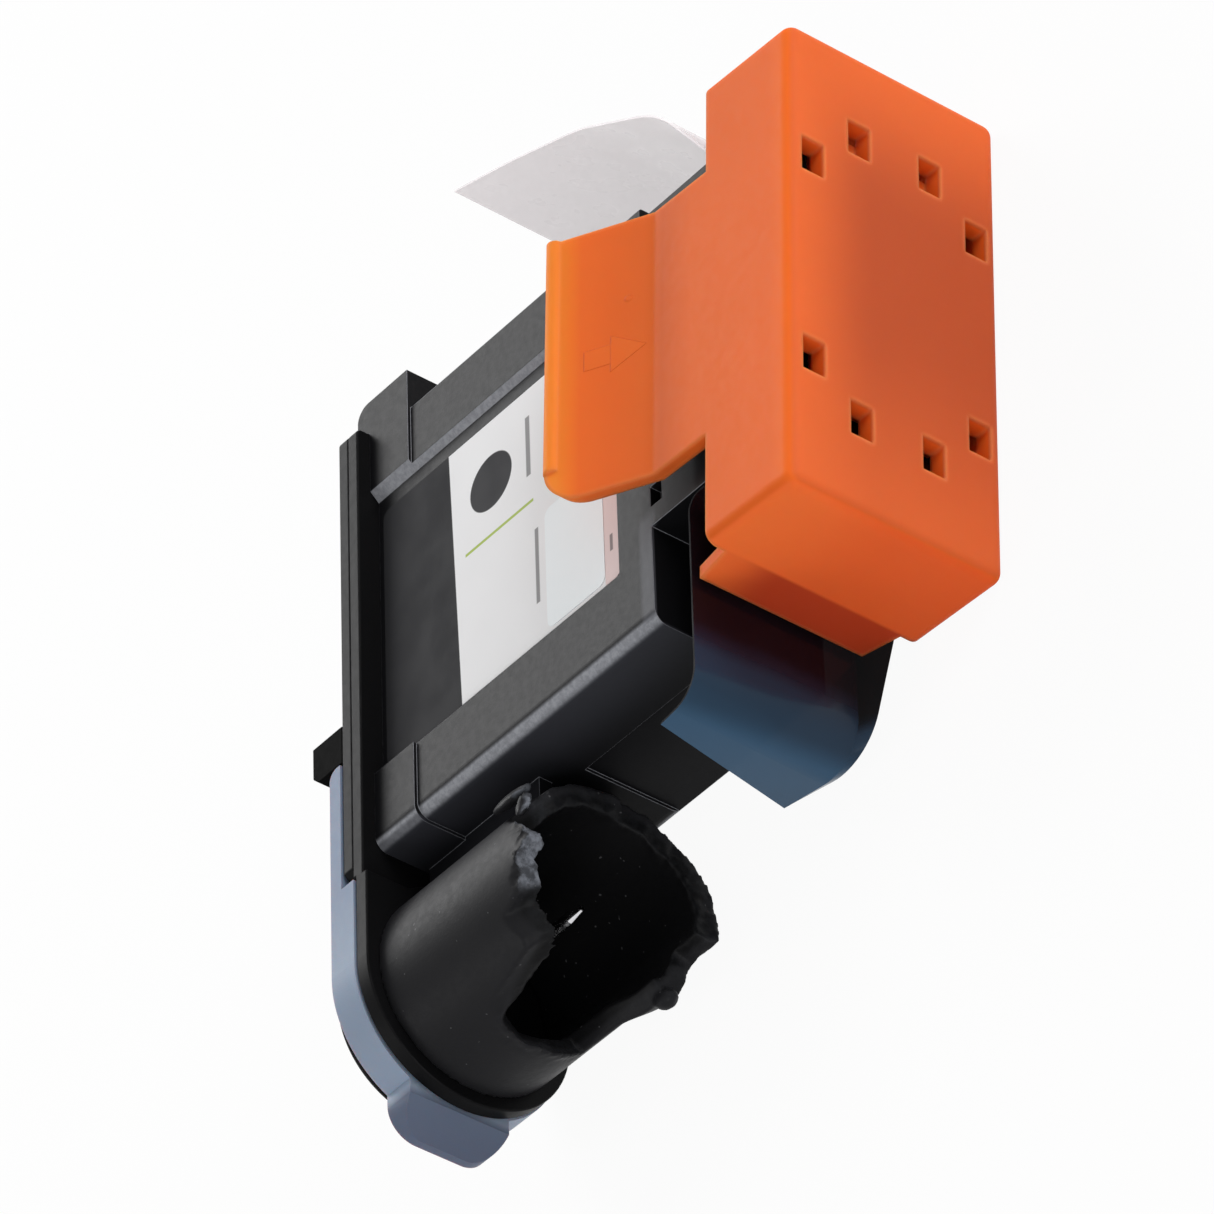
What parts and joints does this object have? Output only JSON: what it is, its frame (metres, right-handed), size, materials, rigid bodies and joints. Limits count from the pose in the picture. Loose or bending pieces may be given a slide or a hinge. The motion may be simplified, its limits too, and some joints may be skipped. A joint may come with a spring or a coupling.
{
  "type": "ink printhead",
  "caption": "Inkjet printhead cartridge with a slotted port tower, hinged pull handle, recessed label, nozzle tape with pull tab and a clip-on nozzle cap",
  "frame": {"origin": "On the axis of the ink port tower, on the underside of the round flange, half way across the head", "axes": "+X from the port tower to the far end of the head, +Y from the nozzles to the handle side, +Z across the head out of the label"},
  "size_m": [0.0933, 0.0693, 0.0276],
  "materials": {
    "black_housing": "fine moulded grain",
    "black_plate": "fine moulded grain",
    "black_hub": "satin",
    "needle_steel": "polished",
    "vent_rubber": "matt",
    "label_paper": "satin film with a dark field",
    "patch_paper": "satin",
    "flex_film": "amber film",
    "nozzle_metal": "plated",
    "bead_resin": "glossy resin",
    "pad_gold": "gold plated",
    "blue_tape": "clear tinted film",
    "white_film": "milky film",
    "blue_handle": "satin",
    "orange_cap": "satin"
  },
  "bodies": {
    "head": {"pen_housing": "black_housing", "crown_plate": "black_plate", "top_lid": "black_plate", "port_tower": "black_housing", "needle_hub": "black_hub", "ink_needle": "needle_steel", "port_cover": "black_plate", "hinge_ear_near": "black_plate", "hinge_ear_far": "black_plate", "vent_plug": "vent_rubber", "print_label": "label_paper", "label_patch": "patch_paper", "flex_circuit": "flex_film", "nozzle_plate": "nozzle_metal", "seal_bead_a": "bead_resin", "seal_bead_b": "bead_resin", "contact_pads": "pad_gold", "nozzle_tape": "blue_tape", "pull_tab": "white_film"},
    "handle": {"pull_handle": "blue_handle"},
    "cap": {"nozzle_cap": "orange_cap"}
  },
  "joints": [
    {"name": "handle_hinge", "type": "hinge", "parent": "head", "child": "handle", "pos_m": [0.0246, 0.00565, 0], "axis": [0, 0, -1], "range_deg": [0, 92]},
    {"name": "cap_pull", "type": "slide", "parent": "head", "child": "cap", "axis": [0, -1, 0], "range_m": [0, 0.028]}
  ]
}
